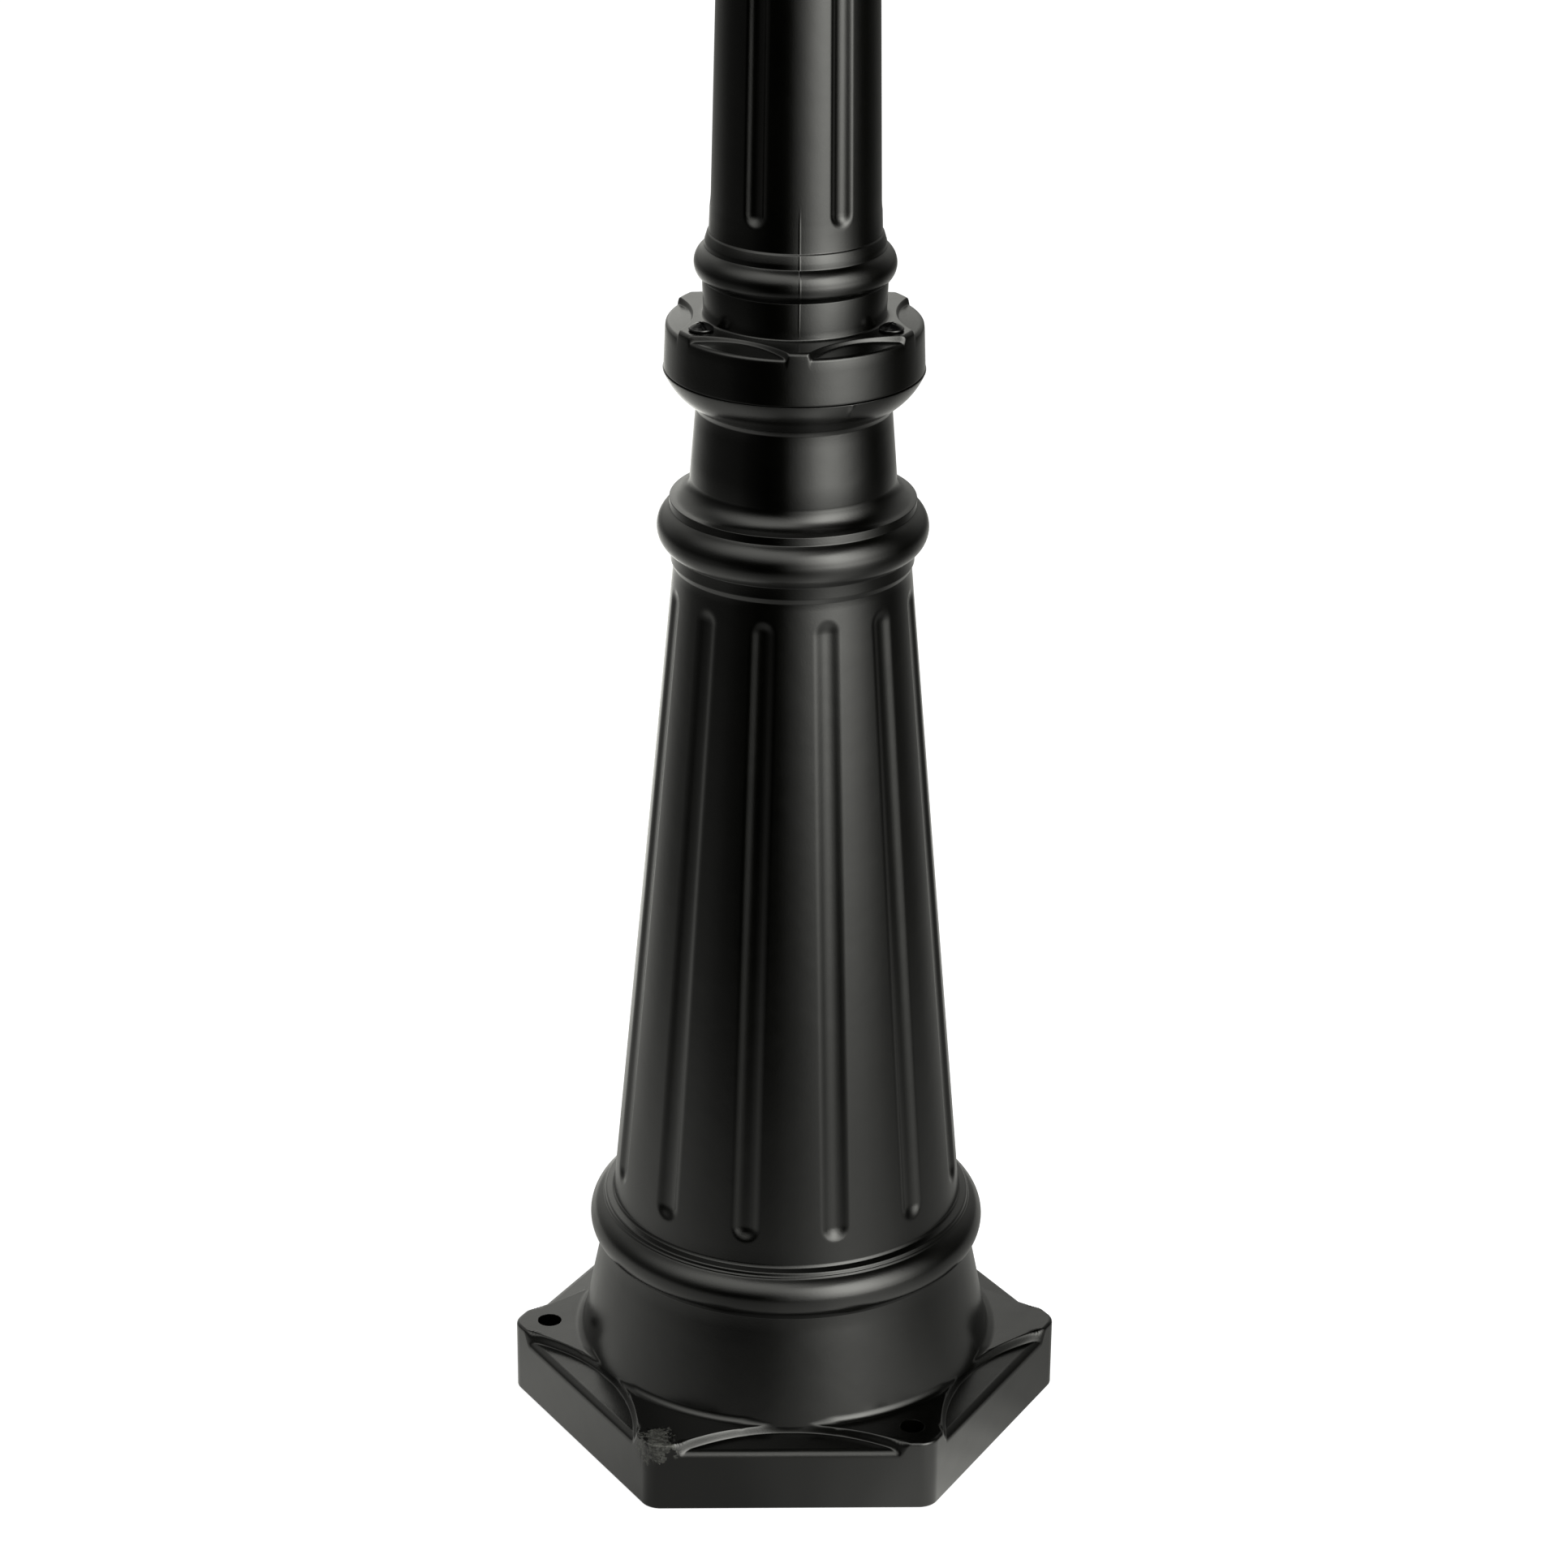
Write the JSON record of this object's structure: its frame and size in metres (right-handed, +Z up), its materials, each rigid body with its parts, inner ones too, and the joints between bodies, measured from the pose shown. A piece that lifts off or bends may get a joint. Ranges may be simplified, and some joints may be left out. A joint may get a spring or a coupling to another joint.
{
  "type": "solar lamp post",
  "caption": "Cast lamp post with a hexagonal scooped foot, a fluted tapering base and pole, and a six sided solar lantern.",
  "frame": {"origin": "centre of the foot's underside, on the ground", "axes": "+Z up along the post, -Y the front as pictured, two corners of the foot and of the lantern on X"},
  "size_m": [0.288, 0.2504, 2.221],
  "materials": {
    "black_casting": "satin black powder coat",
    "black_screw": "glossy black",
    "bright_steel": "plain",
    "mirror_aluminium": "polished",
    "clear_glass": "clear",
    "solar_cell": "laminated",
    "black_rubber": "matte",
    "white_plastic": "matte",
    "frosted_plastic": "frosted",
    "black_plastic": "matte",
    "led_yellow": "phosphor",
    "cell_wrap": "shrink wrap",
    "green_board": "solder mask"
  },
  "bodies": {
    "post": {"base_casting": "black_casting", "lower_pole": "black_casting", "flange_screws": "black_screw", "coupling_tube": "bright_steel", "coupling_collar": "black_casting", "collar_screws": "black_screw", "upper_pole": "black_casting", "capital": "black_casting", "capital_screws": "black_screw", "lantern_base": "black_casting", "thumb_screws": "black_screw", "reflector": "mirror_aluminium", "lantern_cage": "black_casting", "glass_pane_1": "clear_glass", "glass_pane_2": "clear_glass", "glass_pane_3": "clear_glass", "glass_pane_4": "clear_glass", "glass_pane_5": "clear_glass", "glass_pane_6": "clear_glass", "pane_clips": "bright_steel", "roof": "black_casting", "roof_screws": "bright_steel", "roof_gasket": "black_rubber", "solar_panel_1": "solar_cell", "solar_panel_2": "solar_cell", "solar_panel_3": "solar_cell", "solar_panel_4": "solar_cell", "solar_panel_5": "solar_cell", "solar_panel_6": "solar_cell", "finial": "black_casting", "finial_washer": "black_rubber", "light_tray": "white_plastic", "tray_screws": "bright_steel", "led_board": "white_plastic", "led_chips": "led_yellow", "led_lens": "frosted_plastic", "battery_holder": "black_plastic", "battery_cell_1": "cell_wrap", "battery_cell_2": "cell_wrap", "battery_cell_3": "cell_wrap", "controller_board": "green_board", "switch_housing": "black_plastic"},
    "slider": {"switch_slider": "white_plastic"}
  },
  "joints": [
    {"name": "switch_slide", "type": "slide", "parent": "post", "child": "slider", "axis": [1, 0, 0], "range_m": [0, 0.004]}
  ]
}
